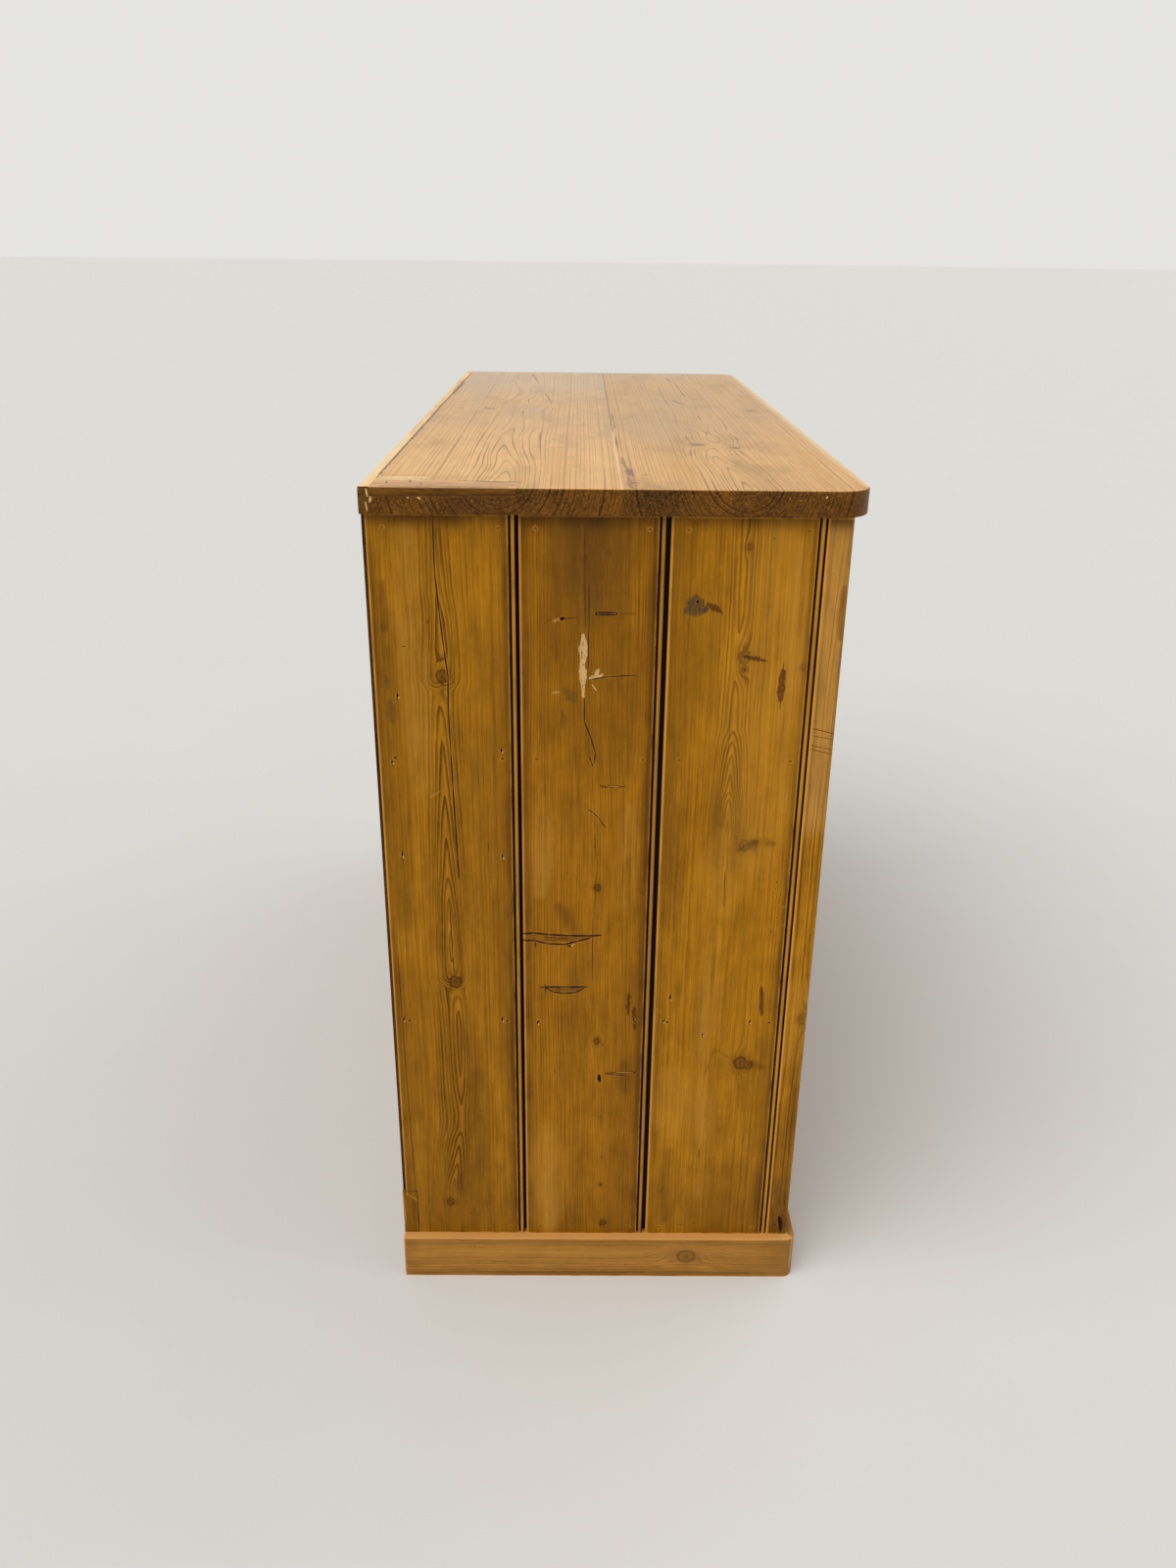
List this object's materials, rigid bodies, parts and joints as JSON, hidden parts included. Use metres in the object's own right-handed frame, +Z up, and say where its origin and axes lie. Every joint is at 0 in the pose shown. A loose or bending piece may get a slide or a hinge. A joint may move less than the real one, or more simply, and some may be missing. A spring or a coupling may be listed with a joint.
{
  "type": "school cupboard",
  "caption": "Low pine cupboard with beaded matchboard ends, a board top with rounded front corners, a plinth, panelled doors on butt hinges, inner shelves, a lock and a bolt.",
  "frame": {"origin": "on the floor, in the middle of the overall outline with the knobs", "axes": "+X along the cupboard to its right end, +Y to its back, +Z up"},
  "size_m": [1.18, 0.49, 0.94],
  "materials": {
    "pine_top": "worn wax",
    "pine_end": "wax",
    "pine_frame": "wax",
    "pine_inside": "bare",
    "pine_back": "bare",
    "pine_plinth": "wax",
    "pine_door": "wax",
    "turned_knob": "polish",
    "iron": "aged",
    "brass": "aged"
  },
  "bodies": {
    "carcase": {"top_front_board": "pine_top", "top_back_board": "pine_top", "top_back_lipping": "pine_top", "top_end_patch": "pine_top", "left_end_front_board": "pine_end", "left_end_middle_board": "pine_end", "left_end_back_board": "pine_end", "left_end_corner_patch": "pine_end", "right_end_front_board": "pine_end", "right_end_middle_board": "pine_end", "right_end_back_board": "pine_end", "frame_left_stile": "pine_frame", "frame_right_stile": "pine_frame", "frame_top_rail": "pine_frame", "frame_bottom_rail": "pine_frame", "floor_front_board": "pine_inside", "floor_back_board": "pine_inside", "floor_bearers": "pine_inside", "shelf_bearers": "pine_inside", "top_battens": "pine_inside", "lower_shelf": "pine_inside", "upper_shelf": "pine_inside", "back_board_1": "pine_back", "back_board_2": "pine_back", "back_board_3": "pine_back", "back_board_4": "pine_back", "back_board_5": "pine_back", "back_board_6": "pine_back", "plinth_front": "pine_plinth", "plinth_left": "pine_plinth", "plinth_right": "pine_plinth", "plinth_back": "pine_plinth", "plinth_corner_blocks": "pine_plinth", "end_nails": "iron", "hinge_frame_leaves": "iron", "hinge_pins": "iron", "hinge_frame_screws": "iron"},
    "left_door": {"left_door_hinge_stile": "pine_frame", "left_door_meeting_stile": "pine_frame", "left_door_top_rail": "pine_frame", "left_door_bottom_rail": "pine_frame", "left_door_panel": "pine_door", "left_door_mouldings": "pine_door", "left_door_knob": "turned_knob", "left_door_hinge_leaves": "iron", "left_door_screws": "iron", "left_door_bolt_plate": "iron"},
    "right_door": {"right_door_hinge_stile": "pine_frame", "right_door_meeting_stile": "pine_frame", "right_door_top_rail": "pine_frame", "right_door_bottom_rail": "pine_frame", "right_door_panel": "pine_door", "right_door_mouldings": "pine_door", "right_door_knob": "turned_knob", "right_door_hinge_leaves": "iron", "right_door_screws": "iron", "lock_case": "iron", "lock_escutcheon": "brass"},
    "left_bolt": {"left_door_bolt": "iron"},
    "lock_tongue": {"lock_bolt": "iron"}
  },
  "joints": [
    {"name": "left_door_swing", "type": "hinge", "parent": "carcase", "child": "left_door", "pos_m": [-0.51675, -0.2158, 0.484], "axis": [0, 0, -1], "range_deg": [0, 165]},
    {"name": "right_door_swing", "type": "hinge", "parent": "carcase", "child": "right_door", "pos_m": [0.51675, -0.2158, 0.484], "axis": [0, 0, 1], "range_deg": [0, 165]},
    {"name": "left_bolt_slide", "type": "slide", "parent": "left_door", "child": "left_bolt", "axis": [0, 0, 1], "range_m": [0, 0.02]},
    {"name": "lock_bolt_slide", "type": "slide", "parent": "right_door", "child": "lock_tongue", "axis": [-1, 0, 0], "range_m": [0, 0.01]}
  ]
}
